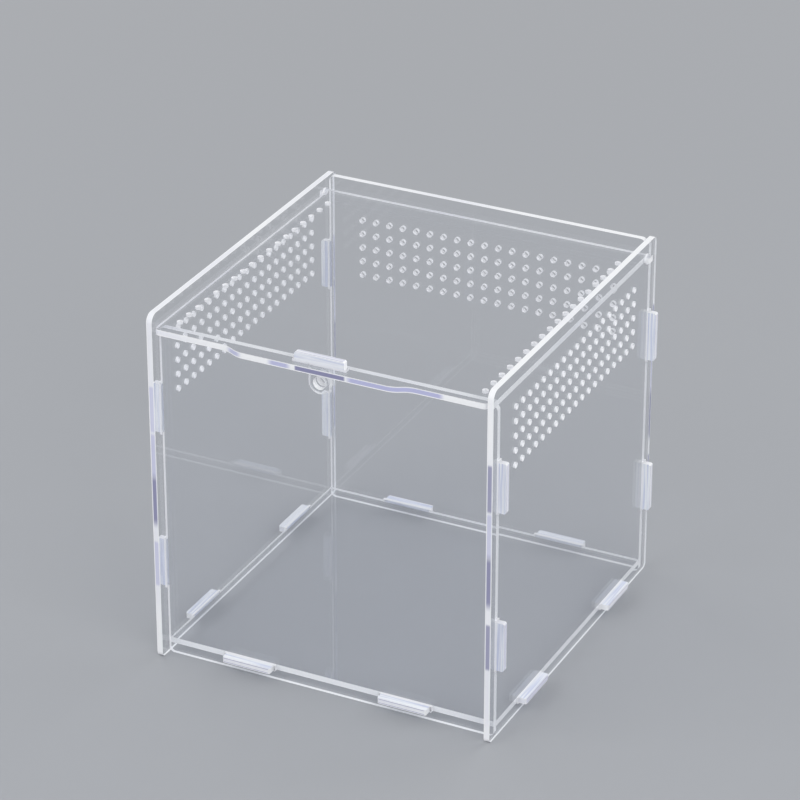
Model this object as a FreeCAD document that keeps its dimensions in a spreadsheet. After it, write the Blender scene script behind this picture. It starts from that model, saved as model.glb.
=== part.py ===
import FreeCAD, Part
import math
import os
import Sketcher

# Clear acrylic terrarium of laser-cut sheet: tabbed walls and floor, a lid that turns on two ears, a hasp.
# Frame: X across, Y front to back, Z up; the origin is below the middle of the whole outline, at the table.

# Driving dimensions, in millimetres.
sizes = {
    "sheet": 3.0,  # thickness of every panel
    "box_width": 180.0,  # across the outer faces of the side walls
    "side_depth": 188.0,  # side wall, front edge to back edge
    "side_height": 186.5,  # side wall, table to top edge
    "front_setback": 6.6,  # front wall's outer face behind the side walls' front edges
    "back_setback": 4.2,  # back wall's outer face ahead of the side walls' back edges
    "floor_height": 4.3,  # floor's underside above the table
    "butt_gap": 0.1,  # between a panel's edge and the wall that it meets
    "corner_radius": 2.5,  # panel corners
    "brow_radius": 4.5,  # side walls' top front corners
    "tab_length": 26.0,  # along the panel's edge
    "tab_reach": 3.8,  # tab's end beyond the outer face of the wall it passes through
    "tab_radius": 1.0,  # tab corners
    "slot_end_gap": 1.0,  # between each end of a tab and its slot
    "slot_face_gap": 0.1,  # between each face of a tab and its slot
    "tab_above_table": 50.0,  # lower wall tabs, middle
    "tab_below_top": 52.0,  # upper wall tabs, middle, below the side walls' top edge
    "floor_tab_side": 47.8,  # front and back floor tabs, middle, from the nearer side wall's outer face
    "floor_tab_end": 39.6,  # side floor tabs, middle, from the nearer end wall's outer face
    "vent_diameter": 3.0,
    "vent_pitch": 7.6,
    "vent_rows": 5,
    "vent_drop_side": 18.8,  # side walls' top row below the top edge
    "vent_drop_back": 23.5,  # back wall's top row below the top edge
    "vent_margin_side": 24.0,  # least distance of a column from the side wall's front and back edges
    "vent_margin_back": 20.0,  # least distance of a column from the side walls' outer faces
    "lid_drop": 7.0,  # lid's top face below the side walls' top edge
    "lid_rest_gap": 0.3,  # lid's underside to the front wall's top edge
    "lid_side_gap": 0.5,  # lid's side edges to the side walls
    "lid_inset": 1.0,  # lid's front edge behind the side walls' front edges
    "nose_reach": 3.8,  # nose in front of the lid's front edge
    "nose_width": 74.0,  # straight part of the nose
    "nose_ramp": 13.5,  # length of the double curve at each end of the nose
    "lid_vent_pitch": 8.9,  # along the lid's sides
    "lid_vent_inset": 7.0,  # lid's vents from its side edges
    "lid_vent_start": 12.5,  # first of them behind the lid's front edge
    "lid_vent_margin": 10.0,  # least distance of the last of them from the lid's back edge
    "ear_width": 4.4,  # hinge ear, front to back
    "ear_reach": 1.5,  # hinge ear beyond the side wall's outer face
    "hinge_clearance": 0.15,  # ear's corners to the hinge hole
    "swing_clearance": 0.35,  # lid's turning back corners to the back wall
    "hasp_gap": 1.0,  # hasp's back face to the front wall's outer face
    "hasp_rise": 3.8,  # hasp's top above the lid
    "ring_hole_diameter": 6.5,  # lock hole through the ring and the front wall
    "ring_wall": 2.2,  # ring's width round its hole
    "ring_bridge": 3.6,  # from the lid's underside to the hole
}

# Places that several panels share. Depths are measured back from the side walls' front edges.
front_edge_y = "(Sizes.nose_reach - Sizes.lid_inset - Sizes.side_depth) / 2"
outer_half = "Sizes.box_width / 2"
inner_half = "(Sizes.box_width / 2 - Sizes.sheet)"
panel_half = f"({inner_half} - Sizes.butt_gap)"
tab_half = "(Sizes.box_width / 2 + Sizes.tab_reach)"
front_outer = "Sizes.front_setback"
front_inner = "(Sizes.front_setback + Sizes.sheet)"
back_outer = "(Sizes.side_depth - Sizes.back_setback)"
back_inner = "(Sizes.side_depth - Sizes.back_setback - Sizes.sheet)"
floor_under = "Sizes.floor_height"
floor_top = "(Sizes.floor_height + Sizes.sheet)"
lid_under = "(Sizes.side_height - Sizes.lid_drop - Sizes.sheet)"
front_top = f"({lid_under} - Sizes.lid_rest_gap)"
ear_half_diagonal = "(sqrt(Sizes.ear_width ^ 2 + Sizes.sheet ^ 2) / 2)"
hinge_depth = f"({back_inner} - {ear_half_diagonal} - Sizes.swing_clearance)"
hinge_height = f"({lid_under} + Sizes.sheet / 2)"
lid_half = f"({inner_half} - Sizes.lid_side_gap)"
lid_back = f"({hinge_depth} + Sizes.ear_width / 2)"
hasp_back = f"({front_outer} - Sizes.hasp_gap)"
hasp_front = f"({hasp_back} - Sizes.sheet)"
ring_drop = "(Sizes.ring_bridge + Sizes.ring_hole_diameter / 2)"
wall_tab_heights = ("Sizes.tab_above_table", "(Sizes.side_height - Sizes.tab_below_top)")
floor_tab_depths = (f"({front_outer} + Sizes.floor_tab_end)", f"({back_outer} - Sizes.floor_tab_end)")
floor_tab_right = "(Sizes.box_width / 2 - Sizes.floor_tab_side)"
floor_tab_sides = (f"(-{floor_tab_right})", floor_tab_right)
tab_half_length = "Sizes.tab_length / 2"
slot_half_length = "(Sizes.tab_length / 2 + Sizes.slot_end_gap)"

doc = FreeCAD.newDocument("terrarium")
sheet = doc.addObject("Spreadsheet::Sheet", "Sizes")
for row, (alias, value) in enumerate(sizes.items(), start=1):
    cell = f"A{row}"
    sheet.set(cell, str(value))
    sheet.setAlias(cell, alias)
doc.recompute()


def new_panel(label, **place):
    """A body for one panel, moved to its place in the box by expressions for x, y and z."""
    body = doc.addObject("PartDesign::Body", label)
    body.Label = label
    for axis, expression in place.items():
        body.setExpression(f"Placement.Base.{axis}", expression)
    return body


def new_sketch(body, role, name):
    """A sketch on one of the body's own origin planes, which is the panel's middle plane."""
    plane = next(feature for feature in body.Origin.OriginFeatures if feature.Role == role)
    sketch = body.newObject("Sketcher::SketchObject", f"{body.Name}_{name}")
    sketch.AttachmentSupport = [(plane, "")]
    sketch.MapMode = "FlatFace"
    return sketch


def hold(sketch, kind, geometry, point, expression):
    """Hold a point at a signed distance from the sketch's origin."""
    place = sketch.getPoint(geometry, point)
    drawn = place.x if kind == "DistanceX" else place.y
    index = sketch.addConstraint(Sketcher.Constraint(kind, -1, 1, geometry, point, drawn))
    sketch.setExpression(f"Constraints[{index}]", expression)


def draw_rectangle(sketch, left, right, bottom, top):
    """A rectangle with its four sides held by expressions."""
    first = sketch.GeometryCount
    corners = [FreeCAD.Vector(0, 0), FreeCAD.Vector(1, 0), FreeCAD.Vector(1, 1), FreeCAD.Vector(0, 1)]
    for side in range(4):
        sketch.addGeometry(Part.LineSegment(corners[side], corners[(side + 1) % 4]))
    for side in range(4):
        following = first + (side + 1) % 4
        sketch.addConstraint(Sketcher.Constraint("Coincident", first + side, 2, following, 1))
        direction = "Vertical" if side % 2 else "Horizontal"
        sketch.addConstraint(Sketcher.Constraint(direction, first + side))
    hold(sketch, "DistanceX", first, 1, left)
    hold(sketch, "DistanceY", first, 1, bottom)
    hold(sketch, "DistanceX", first + 2, 1, right)
    hold(sketch, "DistanceY", first + 2, 1, top)


def draw_circle(sketch, across, up, diameter):
    """A circle with its centre and diameter held by expressions."""
    circle = sketch.addGeometry(Part.Circle(FreeCAD.Vector(1, 1), FreeCAD.Vector(0, 0, 1), 1))
    hold(sketch, "DistanceX", circle, 3, across)
    hold(sketch, "DistanceY", circle, 3, up)
    index = sketch.addConstraint(Sketcher.Constraint("Diameter", circle, 2.0))
    sketch.setExpression(f"Constraints[{index}]", diameter)


def pad_sheet(body, sketch, name):
    """Give an outline the thickness of the sheet, evenly about the middle plane."""
    pad = body.newObject("PartDesign::Pad", f"{body.Name}_{name}")
    pad.Profile = sketch
    pad.SideType = "Symmetric"
    pad.setExpression("Length", "Sizes.sheet")
    doc.recompute()


def cut_sheet(body, sketch, name):
    """Cut an outline right through the sheet."""
    volume_before = body.Shape.Volume
    pocket = body.newObject("PartDesign::Pocket", f"{body.Name}_{name}")
    pocket.Profile = sketch
    pocket.Type = "ThroughAll"
    pocket.SideType = "Symmetric"
    doc.recompute()
    if body.Shape.Volume >= volume_before:
        raise RuntimeError(f"{pocket.Name} cut nothing")
    return pocket


def round_edges(body, name, radius, chosen):
    """Round the edges that run through the sheet and whose middle, in the body's frame, is chosen."""
    base = body.Tip
    thickness = sheet.get("sheet")
    names = []
    for number, edge in enumerate(base.Shape.Edges, start=1):
        straight = isinstance(edge.Curve, Part.Line)
        if straight and abs(edge.Length - thickness) < 1e-6 and chosen(edge.CenterOfMass):
            names.append(f"Edge{number}")
    fillet = body.newObject("PartDesign::Fillet", f"{body.Name}_{name}")
    fillet.Base = (base, names)
    fillet.setExpression("Radius", radius)
    doc.recompute()


def add_tabs(body, role, name, bars):
    """Add bars that cross the plate and stand out of it as tabs, with rounded tab corners."""
    plate = body.Shape.copy()
    plate.Placement = FreeCAD.Placement()
    limits = plate.BoundBox
    limits.enlarge(1e-3)
    sketch = new_sketch(body, role, name)
    for bar in bars:
        draw_rectangle(sketch, *bar)
    pad_sheet(body, sketch, f"{name}_pad")
    round_edges(body, f"{name}_corners", "Sizes.tab_radius", lambda point: not limits.isInside(point))


def add_vents(body, role, corner, columns, rows, downwards):
    """Drill a grid of vents from a left corner of it; columns and rows are a count and a pitch each."""
    sketch = new_sketch(body, role, "vent")
    draw_circle(sketch, *corner, "Sizes.vent_diameter")
    vent = cut_sheet(body, sketch, "vent_cut")
    grid = body.newObject("PartDesign::LinearPattern", f"{body.Name}_vent_grid")
    grid.Originals = [vent]
    grid.Direction = (sketch, ["H_Axis"])
    grid.Mode = "Extent"
    grid.setExpression("Length", f"({columns[0]} - 1) * {columns[1]}")
    grid.setExpression("Occurrences", columns[0])
    grid.Direction2 = (sketch, ["V_Axis"])
    grid.Reversed2 = downwards
    grid.Mode2 = "Extent"
    grid.setExpression("Length2", f"({rows[0]} - 1) * {rows[1]}")
    grid.setExpression("Occurrences2", rows[0])
    body.Tip = grid
    doc.recompute()


def add_wall_vents(body, role, middle, margin, span, top_row):
    """As many columns of vents as fit in the span, about its middle, in rows from the top one down."""
    columns = f"(floor(({span} - 2 * {margin}) / Sizes.vent_pitch) + 1)"
    first_column = f"({middle} - ({columns} - 1) * Sizes.vent_pitch / 2)"
    column_grid = (columns, "Sizes.vent_pitch")
    row_grid = ("Sizes.vent_rows", "Sizes.vent_pitch")
    add_vents(body, role, (first_column, top_row), column_grid, row_grid, True)


def across_slot(middle):
    """Ends of a slot along its length."""
    return f"{middle} - {slot_half_length}", f"{middle} + {slot_half_length}"


def across_sheet(low_face, high_face):
    """Faces of a slot across the sheet that passes through it."""
    return f"{low_face} - Sizes.slot_face_gap", f"{high_face} + Sizes.slot_face_gap"


def across_tab(middle):
    """Ends of a tab along its length."""
    return f"{middle} - {tab_half_length}", f"{middle} + {tab_half_length}"


def make_side_wall(label, sign):
    """A side wall: slots for the tabs of three panels, a hinge hole and vents."""
    body = new_panel(label, x=f"{sign} * (Sizes.box_width - Sizes.sheet) / 2", y=front_edge_y)
    outline = new_sketch(body, "YZ_Plane", "outline")
    draw_rectangle(outline, "0", "Sizes.side_depth", "0", "Sizes.side_height")
    pad_sheet(body, outline, "plate")
    middle_depth = sheet.get("side_depth") / 2
    middle_height = sheet.get("side_height") / 2

    def at_brow(point):
        return point.y < middle_depth and point.z > middle_height

    round_edges(body, "brow", "Sizes.brow_radius", at_brow)
    round_edges(body, "corners", "Sizes.corner_radius", lambda point: not at_brow(point))

    slots = new_sketch(body, "YZ_Plane", "slots")
    for height in wall_tab_heights:
        draw_rectangle(slots, *across_sheet(front_outer, front_inner), *across_slot(height))
        draw_rectangle(slots, *across_sheet(back_inner, back_outer), *across_slot(height))
    for depth in floor_tab_depths:
        draw_rectangle(slots, *across_slot(depth), *across_sheet(floor_under, floor_top))
    cut_sheet(body, slots, "slots_cut")

    hinge = new_sketch(body, "YZ_Plane", "hinge")
    draw_circle(hinge, hinge_depth, hinge_height, f"2 * ({ear_half_diagonal} + Sizes.hinge_clearance)")
    cut_sheet(body, hinge, "hinge_cut")

    top_row = "(Sizes.side_height - Sizes.vent_drop_side)"
    middle = "Sizes.side_depth / 2"
    add_wall_vents(body, "YZ_Plane", middle, "Sizes.vent_margin_side", "Sizes.side_depth", top_row)
    return body


def make_end_wall(label, depth, top):
    """Front or back wall: a plate between the side walls, tabs into them and slots for the floor's tabs."""
    body = new_panel(label, y=f"{front_edge_y} + {depth}")
    outline = new_sketch(body, "XZ_Plane", "outline")
    draw_rectangle(outline, f"-{panel_half}", panel_half, "0", top)
    pad_sheet(body, outline, "plate")
    round_edges(body, "corners", "Sizes.corner_radius", lambda point: True)
    bars = [(f"-{tab_half}", tab_half, *across_tab(height)) for height in wall_tab_heights]
    add_tabs(body, "XZ_Plane", "tabs", bars)
    slots = new_sketch(body, "XZ_Plane", "slots")
    for side in floor_tab_sides:
        draw_rectangle(slots, *across_slot(side), *across_sheet(floor_under, floor_top))
    cut_sheet(body, slots, "slots_cut")
    return body


def make_front_wall():
    """The front wall has a lock hole in line with the hasp's ring."""
    body = make_end_wall("front_wall", f"({front_outer} + {front_inner}) / 2", front_top)
    lock = new_sketch(body, "XZ_Plane", "lock")
    draw_circle(lock, "0", f"{lid_under} - {ring_drop}", "Sizes.ring_hole_diameter")
    cut_sheet(body, lock, "lock_cut")
    return body


def make_back_wall():
    """The back wall is as high as the side walls and is vented."""
    body = make_end_wall("back_wall", f"({back_inner} + {back_outer}) / 2", "Sizes.side_height")
    top_row = "(Sizes.side_height - Sizes.vent_drop_back)"
    add_wall_vents(body, "XZ_Plane", "0", "Sizes.vent_margin_back", "Sizes.box_width", top_row)
    return body


def make_floor_panel():
    """The floor meets all four walls and has tabs through each of them."""
    body = new_panel("floor_panel", y=front_edge_y, z=f"({floor_under} + {floor_top}) / 2")
    outline = new_sketch(body, "XY_Plane", "outline")
    plate_ends = (f"{front_inner} + Sizes.butt_gap", f"{back_inner} - Sizes.butt_gap")
    draw_rectangle(outline, f"-{panel_half}", panel_half, *plate_ends)
    pad_sheet(body, outline, "plate")
    side_bars = [(f"-{tab_half}", tab_half, *across_tab(depth)) for depth in floor_tab_depths]
    add_tabs(body, "XY_Plane", "side_tabs", side_bars)
    tab_ends = (f"{front_outer} - Sizes.tab_reach", f"{back_outer} + Sizes.tab_reach")
    end_bars = [(*across_tab(side), *tab_ends) for side in floor_tab_sides]
    add_tabs(body, "XY_Plane", "end_tabs", end_bars)
    return body


def draw_lid_outline(sketch):
    """Lid plate whose front edge swells into a nose by a double curve of two equal arcs at each end."""
    left = sheet.get("lid_side_gap") + sheet.get("sheet") - sheet.get("box_width") / 2
    back = sheet.get("side_depth") - sheet.get("back_setback") - sheet.get("sheet")
    front = sheet.get("lid_inset")
    reach = sheet.get("nose_reach")
    ramp = sheet.get("nose_ramp")
    nose_start = -sheet.get("nose_width") / 2
    radius = (ramp ** 2 + reach ** 2) / (4 * reach)
    sweep = math.asin(ramp / 2 / radius)
    normal = FreeCAD.Vector(0, 0, 1)

    def line(x_start, y_start, x_end, y_end):
        return Part.LineSegment(FreeCAD.Vector(x_start, y_start), FreeCAD.Vector(x_end, y_end))

    def arc(x_centre, y_centre, start, end):
        return Part.ArcOfCircle(Part.Circle(FreeCAD.Vector(x_centre, y_centre), normal, radius), start, end)

    up, down = math.pi / 2, 3 * math.pi / 2
    hollow_y = front - radius
    crown_y = front - reach + radius
    shoulder = nose_start - ramp
    sketch.addGeometry([
        line(left, front, shoulder, front),
        arc(shoulder, hollow_y, up - sweep, up),
        arc(nose_start, crown_y, down - sweep, down),
        line(nose_start, front - reach, -nose_start, front - reach),
        arc(-nose_start, crown_y, down, down + sweep),
        arc(-shoulder, hollow_y, up, up + sweep),
        line(-shoulder, front, -left, front),
        line(-left, front, -left, back),
        line(-left, back, left, back),
        line(left, back, left, front),
    ])
    front_left, left_hollow, left_crown, nose = range(4)
    right_crown, right_hollow, front_right, right, rear, left_side = range(4, 10)
    start, end = 1, 2
    tangents = [
        (front_left, end, left_hollow, end),
        (left_hollow, start, left_crown, start),
        (left_crown, end, nose, start),
        (nose, end, right_crown, start),
        (right_crown, end, right_hollow, end),
        (right_hollow, start, front_right, start),
    ]
    for join in tangents:
        sketch.addConstraint(Sketcher.Constraint("Tangent", *join))
    for first, second in ((front_right, right), (right, rear), (rear, left_side), (left_side, front_left)):
        sketch.addConstraint(Sketcher.Constraint("Coincident", first, end, second, start))
    for level in (front_left, nose, front_right, rear):
        sketch.addConstraint(Sketcher.Constraint("Horizontal", level))
    for upright in (right, left_side):
        sketch.addConstraint(Sketcher.Constraint("Vertical", upright))
    sketch.addConstraint(Sketcher.Constraint("Equal", left_hollow, left_crown))
    sketch.addConstraint(Sketcher.Constraint("Equal", right_hollow, right_crown))
    nose_half = "Sizes.nose_width / 2"
    hold(sketch, "DistanceX", front_left, start, f"-{lid_half}")
    hold(sketch, "DistanceX", front_left, end, f"-({nose_half} + Sizes.nose_ramp)")
    hold(sketch, "DistanceX", nose, start, f"-{nose_half}")
    hold(sketch, "DistanceX", nose, end, nose_half)
    hold(sketch, "DistanceX", front_right, start, f"{nose_half} + Sizes.nose_ramp")
    hold(sketch, "DistanceX", front_right, end, lid_half)
    hold(sketch, "DistanceY", front_left, start, "Sizes.lid_inset")
    hold(sketch, "DistanceY", front_right, start, "Sizes.lid_inset")
    hold(sketch, "DistanceY", nose, start, "Sizes.lid_inset - Sizes.nose_reach")
    hold(sketch, "DistanceY", rear, start, lid_back)


def make_lid():
    """The lid: ears flush with its back edge, a slot for the hasp and a row of vents along each side."""
    body = new_panel("lid", y=front_edge_y, z=hinge_height)
    outline = new_sketch(body, "XY_Plane", "outline")
    draw_lid_outline(outline)
    pad_sheet(body, outline, "plate")
    front_corner = sheet.get("box_width") / 2 - sheet.get("sheet") - sheet.get("lid_side_gap")
    middle_depth = sheet.get("side_depth") / 2

    def at_front_corner(point):
        return point.y < middle_depth and abs(point.x) > front_corner - 1e-6

    round_edges(body, "corners", "Sizes.corner_radius", at_front_corner)

    ears = new_sketch(body, "XY_Plane", "ears")
    ear_end = f"({outer_half} + Sizes.ear_reach)"
    ear_sides = (f"{hinge_depth} - Sizes.ear_width / 2", lid_back)
    draw_rectangle(ears, f"-{ear_end}", ear_end, *ear_sides)
    pad_sheet(body, ears, "ears_pad")

    slot = new_sketch(body, "XY_Plane", "slot")
    draw_rectangle(slot, *across_slot("0"), *across_sheet(hasp_front, hasp_back))
    cut_sheet(body, slot, "slot_cut")

    row_half = f"({lid_half} - Sizes.lid_vent_inset)"
    first_row = "(Sizes.lid_inset + Sizes.lid_vent_start)"
    row_count = f"(floor(({lid_back} - {first_row} - Sizes.lid_vent_margin) / Sizes.lid_vent_pitch) + 1)"
    column_grid = ("2", f"2 * {row_half}")
    row_grid = (row_count, "Sizes.lid_vent_pitch")
    add_vents(body, "XY_Plane", (f"-{row_half}", first_row), column_grid, row_grid, False)
    return body


def make_hasp():
    """The hasp: a bar through the lid's slot and, below it, a ring for a lock."""
    body = new_panel("hasp", y=f"{front_edge_y} + ({hasp_front} + {hasp_back}) / 2", z=lid_under)
    bar = new_sketch(body, "XZ_Plane", "bar")
    draw_rectangle(bar, *across_tab("0"), "0", "Sizes.sheet + Sizes.hasp_rise")
    pad_sheet(body, bar, "bar_pad")
    lid_thickness = sheet.get("sheet")
    round_edges(body, "corners", "Sizes.tab_radius", lambda point: point.z > lid_thickness)

    ring_radius = "(Sizes.ring_hole_diameter / 2 + Sizes.ring_wall)"
    neck = new_sketch(body, "XZ_Plane", "neck")
    draw_rectangle(neck, f"-{ring_radius}", ring_radius, f"-{ring_drop}", "Sizes.sheet")
    pad_sheet(body, neck, "neck_pad")
    ring = new_sketch(body, "XZ_Plane", "ring")
    draw_circle(ring, "0", f"-{ring_drop}", f"2 * {ring_radius}")
    pad_sheet(body, ring, "ring_pad")
    hole = new_sketch(body, "XZ_Plane", "hole")
    draw_circle(hole, "0", f"-{ring_drop}", "Sizes.ring_hole_diameter")
    cut_sheet(body, hole, "hole_cut")
    return body


panels = [
    make_side_wall("left_wall", -1),
    make_side_wall("right_wall", 1),
    make_front_wall(),
    make_back_wall(),
    make_floor_panel(),
    make_lid(),
    make_hasp(),
]
doc.recompute()

for item in doc.Objects:
    if "Invalid" in item.State or "Error" in item.State:
        raise RuntimeError(f"{item.Name} failed: {item.State}")
for panel in panels:
    if panel.Shape.isNull() or not panel.Shape.isValid() or len(panel.Shape.Solids) != 1:
        raise RuntimeError(f"{panel.Label} is not one valid solid")

os.makedirs("parts", exist_ok=True)
for panel in panels:
    panel.Shape.exportStep(f"parts/{panel.Label}.step")
    box = panel.Shape.BoundBox
    print(f"{panel.Label}: {panel.Shape.Volume:.0f} mm3, x {box.XMin:.2f} to {box.XMax:.2f}, "
          f"y {box.YMin:.2f} to {box.YMax:.2f}, z {box.ZMin:.2f} to {box.ZMax:.2f}")
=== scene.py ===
import math

import bpy
import numpy as np
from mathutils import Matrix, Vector


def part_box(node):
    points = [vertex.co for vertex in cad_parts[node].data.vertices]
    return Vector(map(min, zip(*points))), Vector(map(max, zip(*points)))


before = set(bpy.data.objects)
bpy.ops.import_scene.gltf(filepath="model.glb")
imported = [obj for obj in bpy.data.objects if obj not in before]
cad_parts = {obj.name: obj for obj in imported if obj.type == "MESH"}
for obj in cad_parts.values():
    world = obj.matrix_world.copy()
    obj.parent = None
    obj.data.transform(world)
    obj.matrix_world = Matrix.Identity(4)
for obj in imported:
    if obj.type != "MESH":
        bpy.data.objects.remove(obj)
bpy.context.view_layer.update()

print("frame loaded:", ", ".join(sorted(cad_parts)))

scene = bpy.context.scene
scene.view_settings.view_transform = "Standard"
xAxis, yAxis, zAxis = range(3)


def wayFrom(azimuth, elevation):
    # unit vector towards a point seen at these angles: azimuth 0 is the front, 90 the right
    turn, rise = math.radians(azimuth), math.radians(elevation)
    return Vector((math.sin(turn) * math.cos(rise), -math.cos(turn) * math.cos(rise), math.sin(rise)))


def addNode(tree, kind, sockets=None, **settings):
    node = tree.nodes.new(kind)
    for name, value in settings.items():
        setattr(node, name, value)
    for name, value in (sockets or {}).items():
        if isinstance(value, bpy.types.NodeSocket):
            tree.links.new(value, node.inputs[name])
        else:
            node.inputs[name].default_value = value
    return node


def mathsNode(tree, operation, *values):
    return addNode(tree, "ShaderNodeMath", dict(enumerate(values)), operation=operation).outputs[0]


def rampNode(tree, value, fromLow, fromHigh, toLow=0.0, toHigh=1.0):
    sockets = {"Value": value, "From Min": fromLow, "From Max": fromHigh, "To Min": toLow, "To Max": toHigh}
    return addNode(tree, "ShaderNodeMapRange", sockets, interpolation_type="SMOOTHSTEP").outputs[0]


def mixColor(tree, share, first, second):
    sockets = {0: share, 6: first, 7: second}
    return addNode(tree, "ShaderNodeMix", sockets, data_type="RGBA").outputs[2]


# camera: where the photograph was taken from
photoView = {
    "place": (0.7082, -1.4334, 0.9477),  # metres
    "azimuth": 26.39,  # degrees
    "elevation": 27.39,
    "lens": 166.4,  # mm
    "sensor": 36.0,  # mm
    "farthest": 50.0,  # metres
}


def makeCamera():
    data = bpy.data.cameras.new("photoCamera")
    data.lens, data.sensor_width = photoView["lens"], photoView["sensor"]
    data.clip_end = photoView["farthest"]
    camera = bpy.data.objects.new("photoCamera", data)
    camera.location = photoView["place"]
    back = wayFrom(photoView["azimuth"], photoView["elevation"])
    camera.rotation_euler = (-back).to_track_quat("-Z", "Y").to_euler()
    scene.collection.objects.link(camera)
    scene.camera = camera


makeCamera()
print("camera ready")

# studio: pale floor, even world light and soft lamps all round
studio = {
    "paleGrey": (0.37, 0.38, 0.40, 1.0),  # floor
    "beyond": (0.42, 0.43, 0.45, 1.0),  # surroundings, which the floor turns into
    "floorRoughness": 0.85,
    "floorHalf": 6.0,  # metres
    "floorDrop": 0.0001,  # keeps the floor clear of the walls' bottom edges
    "plainFrom": (0.35, 1.5),  # metres from the middle: where the floor starts to turn, and where it has
    "skyColor": (0.95, 0.97, 1.0, 1.0),
    "skyLight": 0.45,
    "lampDistance": 2.2,  # metres
    "lampWidth": 1.6,  # metres
    "lamps": [  # name, azimuth, elevation, share of light on a white card that faces it
        ("frontRightLamp", 57.0, 32.0, 0.52),
        ("frontLeftLamp", -40.0, 30.0, 0.38),
        ("leftLamp", -105.0, 30.0, 0.30),
        ("backRightLamp", 150.0, 32.0, 0.34),
    ],
}


def seenRay(tree):
    # 1 on the rays that carry a picture: direct, mirrored or through the clear sheet
    path = addNode(tree, "ShaderNodeLightPath").outputs
    seen = mathsNode(tree, "MAXIMUM", path["Is Camera Ray"], path["Is Glossy Ray"])
    return mathsNode(tree, "MAXIMUM", seen, path["Is Transmission Ray"])


def makeFloor():
    half, low = studio["floorHalf"], -studio["floorDrop"]
    corners = [(-half, -half, low), (half, -half, low), (half, half, low), (-half, half, low)]
    mesh = bpy.data.meshes.new("studioFloor")
    mesh.from_pydata(corners, [], [(0, 1, 2, 3)])
    material = bpy.data.materials.new("paleFloor")
    material.use_nodes = True
    tree = material.node_tree
    shader = tree.nodes["Principled BSDF"]
    shader.inputs["Base Color"].default_value = studio["paleGrey"]
    shader.inputs["Roughness"].default_value = studio["floorRoughness"]
    place = addNode(tree, "ShaderNodeTexCoord").outputs["Object"]
    away = addNode(tree, "ShaderNodeVectorMath", {0: place}, operation="LENGTH").outputs["Value"]
    share = mathsNode(tree, "MULTIPLY", rampNode(tree, away, *studio["plainFrom"]), seenRay(tree))
    plain = addNode(tree, "ShaderNodeEmission", {"Color": studio["beyond"]})
    mix = addNode(tree, "ShaderNodeMixShader", {0: share, 1: shader.outputs[0], 2: plain.outputs[0]})
    tree.links.new(mix.outputs[0], tree.nodes["Material Output"].inputs["Surface"])
    mesh.materials.append(material)
    floor = bpy.data.objects.new("studioFloor", mesh)
    scene.collection.objects.link(floor)


def makeWorld():
    world = bpy.data.worlds.new("studioSky")
    scene.world = world
    world.use_nodes = True
    tree = world.node_tree
    light = tree.nodes["Background"]
    light.inputs["Color"].default_value = studio["skyColor"]
    light.inputs["Strength"].default_value = studio["skyLight"]
    shown = addNode(tree, "ShaderNodeBackground", {"Color": studio["beyond"]})
    mix = addNode(tree, "ShaderNodeMixShader", {0: seenRay(tree), 1: light.outputs[0], 2: shown.outputs[0]})
    tree.links.new(mix.outputs[0], tree.nodes["World Output"].inputs["Surface"])


def makeLamp(name, azimuth, elevation, share):
    data = bpy.data.lights.new(name, "AREA")
    data.size = studio["lampWidth"]
    data.energy = share * math.pi**2 * studio["lampDistance"] ** 2  # watts
    lamp = bpy.data.objects.new(name, data)
    away = wayFrom(azimuth, elevation)
    lamp.location = away * studio["lampDistance"]
    lamp.rotation_euler = (-away).to_track_quat("-Z", "Y").to_euler()
    lamp.visible_glossy = lamp.visible_transmission = False  # no lamp shapes mirrored in the sheets
    scene.collection.objects.link(lamp)


makeFloor()
makeWorld()
for lamp in studio["lamps"]:
    makeLamp(*lamp)
print("studio ready")

# clear faces of the sheet
clearFace = {
    "tint": (0.985, 0.99, 1.0, 1.0),
    "ior": 1.49,
    "roughness": 0.0,
    "lampShare": (0.955, 0.96, 0.97, 1.0),  # light that one surface lets through to what lies behind
}


def makeClearFace():
    material = bpy.data.materials.new("clearFace")
    material.use_nodes = True
    tree = material.node_tree
    glass = tree.nodes["Principled BSDF"]
    glass.inputs["Base Color"].default_value = clearFace["tint"]
    glass.inputs["Transmission Weight"].default_value = 1.0
    glass.inputs["IOR"].default_value = clearFace["ior"]
    glass.inputs["Roughness"].default_value = clearFace["roughness"]
    path = addNode(tree, "ShaderNodeLightPath").outputs
    lit = mathsNode(tree, "MAXIMUM", path["Is Shadow Ray"], path["Is Diffuse Ray"])
    passing = addNode(tree, "ShaderNodeBsdfTransparent", {"Color": clearFace["lampShare"]})
    mix = addNode(tree, "ShaderNodeMixShader", {0: lit, 1: glass.outputs[0], 2: passing.outputs[0]})
    tree.links.new(mix.outputs[0], tree.nodes["Material Output"].inputs["Surface"])
    return material


# frosted finish of all that the laser cut: it shows the light on it and the light inside the sheet
frosted = {
    "ior": 1.49,
    "cutEdge": 0.12,  # share of the light that comes through from the far side, on each kind of cut
    "innerEdge": 0.0,  # edges that are mostly seen through their own sheet
    "tabEnd": 0.10,
    "tabFace": 0.08,
    "cutHole": 0.08,
}


def makeFrosted(name):
    material = bpy.data.materials.new(name)
    material.use_nodes = True
    place = addNode(material.node_tree, "ShaderNodeTexCoord").outputs["Object"]
    return material, material.node_tree, place


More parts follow.
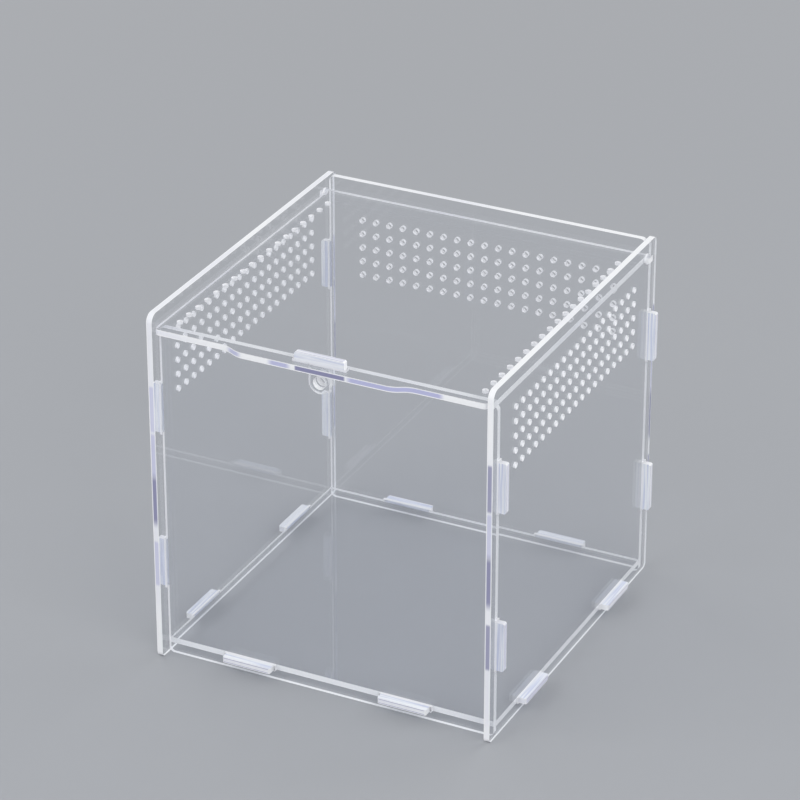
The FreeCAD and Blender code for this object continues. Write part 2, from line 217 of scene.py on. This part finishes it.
def finishFrosted(tree, kind, color, roughness, bump=None):
    surface = tree.nodes["Principled BSDF"]
    surface.inputs["Roughness"].default_value = roughness
    surface.inputs["IOR"].default_value = frosted["ior"]
    tree.links.new(color, surface.inputs["Base Color"])
    inner = addNode(tree, "ShaderNodeBsdfTranslucent", {"Color": color})
    if bump:
        tree.links.new(bump, surface.inputs["Normal"])
        tree.links.new(bump, inner.inputs["Normal"])
    sockets = {0: frosted[kind], 1: surface.outputs[0], 2: inner.outputs[0]}
    mix = addNode(tree, "ShaderNodeMixShader", sockets)
    tree.links.new(mix.outputs[0], tree.nodes["Material Output"].inputs["Surface"])


# laser-cut edges: white rims round a core that turns lavender in stretches of painted shade, where less light
# comes through the sheet, with fine lines across the sheet
cutEdge = {
    "white": (0.96, 0.965, 0.975, 1.0),
    # painted shade: the core's colour where less light comes through the sheet
    "lavenderShade": (0.42, 0.43, 0.70, 1.0),
    "deepShade": (0.20, 0.20, 0.37, 1.0),  # painted deeper shade: core where less light comes through the sheet, as beside a slot
    "rimStart": 0.55,  # shares of half the sheet
    "rimFull": 0.85,
    "stretch": 16.0,  # stretches of painted lavender shade, per metre
    "stretchFrom": (0.4, 0.65),  # noise between which a stretch turns to the painted lavender shade
    "shade": {"cutEdge": (0.0, 0.15), "innerEdge": (0.0, 0.05), "tabEnd": (0.1, 0.4)},  # share of the painted lavender shade
    "lines": 3200.0,  # cutting lines, per metre
    "lineStretch": 0.03,  # the lines run straight across the sheet
    "lineDepth": 0.00002,  # metres
    "lineStrength": 0.5,
    "roughness": 0.32,
}
# ends of the tabs: as the edges, with a painted line of shade inside each rim
tabEnd = {
    "line": (0.34, 0.34, 0.54, 1.0),
    "lineStart": 0.50,  # shares of half the sheet
    "lineFull": 0.66,
    "lineEnd": 0.84,
}


def makeCutEdge(node, kind):
    material, tree, place = makeFrosted(kind + "_" + node)
    axis = panels[node]["axis"]
    low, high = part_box(node)
    middle, half = (low[axis] + high[axis]) / 2, (high[axis] - low[axis]) / 2
    split = addNode(tree, "ShaderNodeSeparateXYZ", {0: place}).outputs
    fromMiddle = mathsNode(tree, "ABSOLUTE", mathsNode(tree, "SUBTRACT", split[axis], middle))
    rim = rampNode(tree, fromMiddle, half * cutEdge["rimStart"], half * cutEdge["rimFull"])
    noise = addNode(tree, "ShaderNodeTexNoise", {"Vector": place, "Scale": cutEdge["stretch"], "Detail": 1.0})
    # painted shade: the core turns lavender in stretches that the noise places
    shade = rampNode(tree, noise.outputs[0], *cutEdge["stretchFrom"], *cutEdge["shade"][kind])
    core = mixColor(tree, shade, cutEdge["white"], cutEdge["lavenderShade"])
    # painted shade: a darker line inside each rim of a tab's end
    if kind == "tabEnd":
        line = rampNode(tree, fromMiddle, half * tabEnd["lineStart"], half * tabEnd["lineFull"])
        core = mixColor(tree, line, core, tabEnd["line"])
        rim = rampNode(tree, fromMiddle, half * tabEnd["lineFull"], half * tabEnd["lineEnd"])
    # stretches of painted shade, on the edges past the given depth
    shadeBands = panels[node].get("shadeBands", {})
    if shadeBands and kind == "cutEdge":
        outer = mathsNode(tree, "GREATER_THAN", mathsNode(tree, "ABSOLUTE", split[yAxis]), shadeBands["pastDepth"])
        for center, reach, soft, color, share in shadeBands["list"]:
            away = mathsNode(tree, "ABSOLUTE", mathsNode(tree, "SUBTRACT", split[shadeBands["along"]], center))
            shadeBand = rampNode(tree, away, reach - soft, reach + soft, share, 0.0)
            core = mixColor(tree, mathsNode(tree, "MULTIPLY", shadeBand, outer), core, cutEdge[color])
    color = mixColor(tree, rim, core, cutEdge["white"])
    scale = [1.0, 1.0, 1.0]
    scale[axis] = cutEdge["lineStretch"]
    along = addNode(tree, "ShaderNodeMapping", {"Vector": place, "Scale": scale}).outputs[0]
    lines = addNode(tree, "ShaderNodeTexNoise", {"Vector": along, "Scale": cutEdge["lines"], "Detail": 2.0})
    sockets = {"Strength": cutEdge["lineStrength"], "Distance": cutEdge["lineDepth"]}
    sockets["Height"] = lines.outputs[0]
    bump = addNode(tree, "ShaderNodeBump", sockets).outputs[0]
    finishFrosted(tree, kind, color, cutEdge["roughness"], bump)
    return material


# walls of the vents, slots and other holes
cutHole = {
    "white": (0.97, 0.97, 0.98, 1.0),
    "grey": (0.84, 0.85, 0.90, 1.0),
    "grain": 2400.0,  # per metre
    "greyFrom": (0.5, 0.75),  # noise between which the wall turns grey
    "roughness": 0.3,
}


def makeCutHole():
    material, tree, place = makeFrosted("cutHole")
    noise = addNode(tree, "ShaderNodeTexNoise", {"Vector": place, "Scale": cutHole["grain"], "Detail": 1.0})
    grain = rampNode(tree, noise.outputs[0], *cutHole["greyFrom"])
    color = mixColor(tree, grain, cutHole["white"], cutHole["grey"])
    finishFrosted(tree, "cutHole", color, cutHole["roughness"])
    return material


# flat faces of the tabs: frosted, with streaks of painted shade along their length
tabFace = {
    "white": (0.92, 0.94, 0.97, 1.0),
    "shade": (0.62, 0.66, 0.82, 1.0),
    "streaks": 900.0,  # per metre
    "streakStretch": 0.03,  # a streak changes only from the root to the end of a tab
    "shadeFrom": (0.38, 0.72),  # noise between which a streak turns to the shade
    "roughness": 0.4,
}


def makeTabFace(axis):
    material, tree, place = makeFrosted("tabFace" + "XYZ"[axis])
    scale = [tabFace["streakStretch"]] * 3
    scale[axis] = 1.0
    across = addNode(tree, "ShaderNodeMapping", {"Vector": place, "Scale": scale}).outputs[0]
    sockets = {"Vector": across, "Scale": tabFace["streaks"], "Detail": 2.0}
    noise = addNode(tree, "ShaderNodeTexNoise", sockets)
    # painted shade: streaks turn to the shade colour
    streak = rampNode(tree, noise.outputs[0], *tabFace["shadeFrom"])
    color = mixColor(tree, streak, tabFace["white"], tabFace["shade"])
    finishFrosted(tree, "tabFace", color, tabFace["roughness"])
    return material


# stretches of painted shade on the cut edges, in metres
# along: the axis they follow; pastDepth: they lie on the edges further than this from the middle of the depth
# list: the middle, half length, softness, colour and share of each stretch
wallShade = {
    "pastDepth": 0.0918,
    "betweenTabs": [(0.1120, 0.0115, 0.0015, "lavenderShade", 0.55), (0.0875, 0.0130, 0.0030, "deepShade", 0.85)],
    "slotHeights": (0.1367, 0.0526),
    "slotReach": 0.0121,
    "slotSoftness": 0.0010,
}
# painted shade on the lid's cut edges, in stretches at its bends and in front of the hasp's slot
noseShadeBands = {
    "along": xAxis,
    "pastDepth": 0.0914,
    "list": [
        (-0.0427, 0.0035, 0.0020, "lavenderShade", 0.7),  # left bend
        (-0.0182, 0.0050, 0.0020, "lavenderShade", 0.8),
        (0.0405, 0.0230, 0.0020, "lavenderShade", 0.85),  # right bend and beyond
        (0.0030, 0.0128, 0.0006, "deepShade", 0.9),  # in front of the hasp's slot
    ],
}


def wallShadeBands(slotShade, slotShare):
    # painted shade: between the tabs the edge turns from pale to deep; beside the slots, which keep light
    # from coming through the sheet, it takes the shade given for the slots
    reach, soft = wallShade["slotReach"], wallShade["slotSoftness"]
    stretches = [(height, reach, soft, slotShade, slotShare) for height in wallShade["slotHeights"]]
    stretches = wallShade["betweenTabs"] + stretches
    return {"along": zAxis, "pastDepth": wallShade["pastDepth"], "list": stretches}


# fit of the sheets, in metres
fit = {
    "seatGap": 0.0001,  # between a panel's edge and the sheet that it seats on
    "tabFrom": 0.0002,  # from that sheet's face: a flat face past this belongs to a tab
    "lidGap": 0.0005,  # between the lid's sides and the side walls
    "noseReach": 0.0038,  # how far the lid's nose stands past the rest of its front edge
}


def wholeSpan(node, axis):
    low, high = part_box(node)
    return axis, low[axis], high[axis]


def spanBetween(first, second, axis, gap):
    # from one sheet's inner face to the other's, less the gap at each end
    return axis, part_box(first)[1][axis] + gap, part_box(second)[0][axis] - gap


def spanEnds(span):
    axis, low, high = span
    return [(axis, low), (axis, high)]


foot = (zAxis, 0.0)  # edges that stand on the table
sidePlate = [wholeSpan("left_wall", yAxis), wholeSpan("left_wall", zAxis)]
acrossPlate = spanBetween("left_wall", "right_wall", xAxis, fit["seatGap"])
acrossTabs = spanBetween("left_wall", "right_wall", xAxis, fit["tabFrom"])
depthPlate = spanBetween("front_wall", "back_wall", yAxis, fit["seatGap"])
depthTabs = spanBetween("front_wall", "back_wall", yAxis, fit["tabFrom"])
lidLow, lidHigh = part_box("lid")
acrossLid = spanBetween("left_wall", "right_wall", xAxis, fit["lidGap"])
depthLid = (yAxis, lidLow[yAxis] + fit["noseReach"], lidHigh[yAxis])

# panels
# axis: the way the flat faces look
# plate: axis and the two ends of the plate without its tabs
# seated: axis and place of each edge that lies against the table or another sheet
# tabs: axis and the two places past which a flat face belongs to a tab
# edge: finish of the outline, where it isn't cutEdge
panels = {
    # bands: stretches of painted shade on the cut edges
    "left_wall": {"axis": xAxis, "plate": sidePlate, "seated": [foot], "shadeBands": wallShadeBands("lavenderShade", 0.5)},
    "right_wall": {"axis": xAxis, "plate": sidePlate, "seated": [foot], "shadeBands": wallShadeBands("deepShade", 0.75)},
    "front_wall": {
        "axis": yAxis,
        "plate": [acrossPlate, wholeSpan("front_wall", zAxis)],
        "seated": [foot, *spanEnds(acrossPlate)],
        "tabs": [acrossTabs],
    },
    "back_wall": {
        "axis": yAxis,
        "plate": [acrossPlate, wholeSpan("back_wall", zAxis)],
        "seated": [foot, *spanEnds(acrossPlate)],
        "tabs": [acrossTabs],
    },
    "floor_panel": {
        "axis": zAxis,
        "plate": [acrossPlate, depthPlate],
        "seated": [*spanEnds(acrossPlate), *spanEnds(depthPlate)],
        "tabs": [acrossTabs, depthTabs],
    },
    "lid": {"axis": zAxis, "plate": [acrossLid, depthLid], "shadeBands": noseShadeBands},
    "hasp": {"axis": yAxis, "edge": "innerEdge", "tabs": [(zAxis, 0.0, lidLow[zAxis])]},
}
# how a panel's faces are told apart
sorting = {
    "outline": 0.0014,  # metres: cut faces further inside the plate's ends belong to a hole or a slot
    "seated": 0.0002,  # metres from a seated edge's place
    "flatFrom": 0.99,  # part of a face's normal along the sheet's axis, from which it is a flat face
    "squareFrom": 0.95,  # the same along another axis, for the edges and ends that look that way
}


def dressPanel(node, clear, hole, tabFaces):
    panel = panels[node]
    axis = panel["axis"]
    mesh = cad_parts[node].data
    count = len(mesh.polygons)
    normals = np.empty(count * 3, np.float32)
    centers = np.empty(count * 3, np.float32)
    mesh.polygons.foreach_get("normal", normals)
    mesh.polygons.foreach_get("center", centers)
    normals, centers = normals.reshape(-1, 3), centers.reshape(-1, 3)
    flat = np.abs(normals[:, axis]) > sorting["flatFrom"]
    slots = [clear, makeCutEdge(node, panel.get("edge", "cutEdge"))]
    index = np.where(flat, 0, 1)
    if "plate" in panel:  # walls of the holes and slots
        inside = ~flat
        for side, low, high in panel["plate"]:
            inside &= centers[:, side] > low + sorting["outline"]
            inside &= centers[:, side] < high - sorting["outline"]
        index[inside] = len(slots)
        slots.append(hole)
    if "tabs" in panel:  # faces and ends of the tabs
        ends = np.zeros(count, bool)
        for side, low, high in panel["tabs"]:
            onTab = (centers[:, side] < low) | (centers[:, side] > high)
            index[flat & onTab] = len(slots)
            slots.append(tabFaces[side])
            ends |= onTab & (np.abs(normals[:, side]) > sorting["squareFrom"])
        index[ends] = len(slots)
        slots.append(makeCutEdge(node, "tabEnd"))
    if "seated" in panel:  # after the tabs, because these edges lie past the tabs' limits too
        for side, place in panel["seated"]:
            onEdge = np.abs(centers[:, side] - place) < sorting["seated"]
            index[onEdge & (np.abs(normals[:, side]) > sorting["squareFrom"])] = len(slots)
        slots.append(makeCutEdge(node, "innerEdge"))
    mesh.materials.clear()
    for material in slots:
        mesh.materials.append(material)
    mesh.polygons.foreach_set("material_index", index.astype(np.int32))
    mesh.update()


clear, hole = makeClearFace(), makeCutHole()
tabFaces = [makeTabFace(side) for side in range(3)]
for node in panels:
    dressPanel(node, clear, hole, tabFaces)
print("panels dressed")
